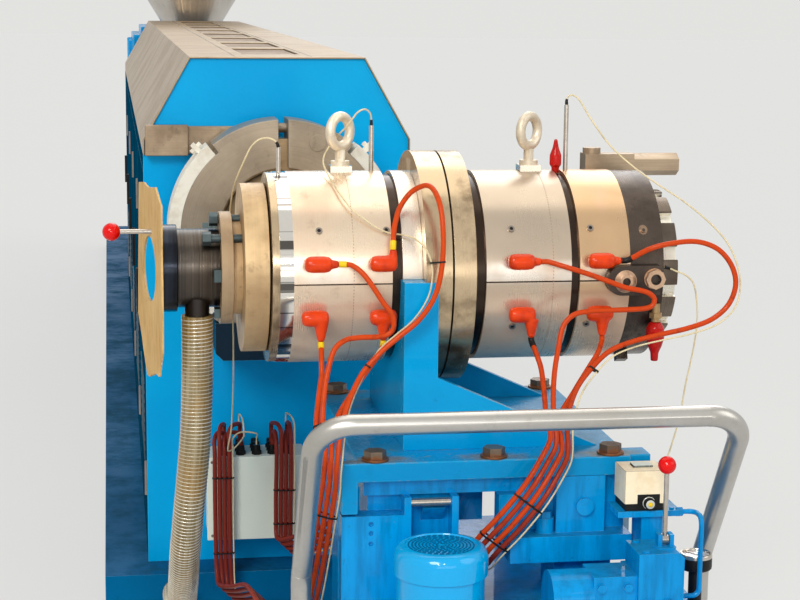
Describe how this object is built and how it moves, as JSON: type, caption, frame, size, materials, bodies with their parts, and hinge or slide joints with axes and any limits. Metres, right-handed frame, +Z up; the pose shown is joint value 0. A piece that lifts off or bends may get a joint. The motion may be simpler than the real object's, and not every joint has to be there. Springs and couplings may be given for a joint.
{
  "type": "plastic extruder with crosshead die",
  "caption": "Pipe coating extruder: hooded screw machine with hopper and drive, and a heated crosshead die on a lift carriage with a guard rail.",
  "frame": {"origin": "on the floor under the carriage base, where the axis of the die head crosses the axis of the screw", "axes": "+X along the die head, away from its outlet; +Y along the screw, towards the drive; +Z up"},
  "size_m": [1.3257, 8.1, 2.145],
  "materials": {
    "deep_blue_paint": "gloss enamel, a little dusty",
    "blue_paint": "gloss enamel",
    "hood_sheet": "brushed stainless sheet",
    "machined_steel": "machined, heat tinted",
    "dark_steel": "dark scaled steel",
    "ceramic_white": "white heater strip",
    "rusty_steel": "rusty",
    "straw_steel": "straw tinted by heat",
    "hopper_sheet": "satin stainless",
    "motor_paint": "satin enamel on castings",
    "guard_yellow": "satin enamel",
    "box_paint": "light grey enamel",
    "black_plastic": "black moulding",
    "blued_steel": "blued by heat",
    "turned_steel": "turned, oxidised",
    "tan_steel": "tan oxide on turned steel",
    "scaled_steel": "brown oxide on steel",
    "black_steel": "black oxide, burnt",
    "band_sheet": "satin stainless with a warm sheen",
    "chrome_strap": "polished",
    "bright_steel": "ground",
    "eye_steel": "zinc plated, dull",
    "orange_silicone": "glossy silicone",
    "probe_steel": "sheathed probe",
    "rail_steel": "satin galvanised tube",
    "dark_blue_paint": "dark enamel",
    "wire_braid": "glass braid on thin wire",
    "cream_plastic": "cream moulding",
    "lever_red": "red knob",
    "gauge_black": "black case",
    "pipe_blue": "painted tube",
    "board": "fibre board",
    "lead_orange": "silicone lead",
    "hose_clear": "clear hose, yellowed"
  },
  "bodies": {
    "machine": {"base_frame": "deep_blue_paint", "cabinet_walls": "deep_blue_paint", "front_panel": "blue_paint", "hood_shell": "hood_sheet", "clamp_bar": "machined_steel", "barrel": "dark_steel", "clamp_ring_left": "machined_steel", "clamp_ring_right": "machined_steel", "ring_heaters": "ceramic_white", "ring_bolts": "rusty_steel", "drip_tray": "dark_blue_paint", "adapter_neck": "straw_steel", "feed_throat": "deep_blue_paint", "hopper": "hopper_sheet", "gearbox": "deep_blue_paint", "drive_motor": "motor_paint", "coupling_guard": "guard_yellow", "junction_box": "box_paint", "box_glands": "black_plastic", "outlet_ring": "blued_steel", "outlet_sleeve": "turned_steel", "centring_plate": "tan_steel", "outlet_bolts": "dark_steel", "outlet_flange": "tan_steel", "die_body": "scaled_steel", "rear_body": "scaled_steel", "end_housing": "black_steel", "lock_nut": "black_steel", "upper_bands": "band_sheet", "lower_bands": "band_sheet", "chrome_strap": "chrome_strap", "saddle_cap": "bright_steel", "eye_bolts": "eye_steel", "plug_boots": "orange_silicone", "probes": "probe_steel", "band_screws": "dark_steel", "end_fittings": "tan_steel", "inlet_flange": "machined_steel", "carriage_base": "deep_blue_paint", "lift_frame": "blue_paint", "top_plate": "blue_paint", "saddle_post": "blue_paint", "plate_bolts": "rusty_steel", "guard_rail": "rail_steel", "hydraulic_block": "blue_paint", "pump_motor": "blue_paint", "valve_coil": "cream_plastic", "pressure_gauge": "gauge_black", "gauge_pipe": "pipe_blue", "side_box": "box_paint", "outlet_rod": "lever_red", "shield_board": "board", "hose_fittings": "machined_steel", "left_leads": "lead_orange", "right_leads": "lead_orange", "probe_wires": "wire_braid", "air_hose": "hose_clear"},
    "lever": {"valve_lever": "lever_red"}
  },
  "joints": [
    {"name": "valve_lever_hinge", "type": "hinge", "parent": "machine", "child": "lever", "pos_m": [0.657, -0.505, 0.52], "axis": [1, 0, 0], "range_deg": [-20, 20]}
  ]
}
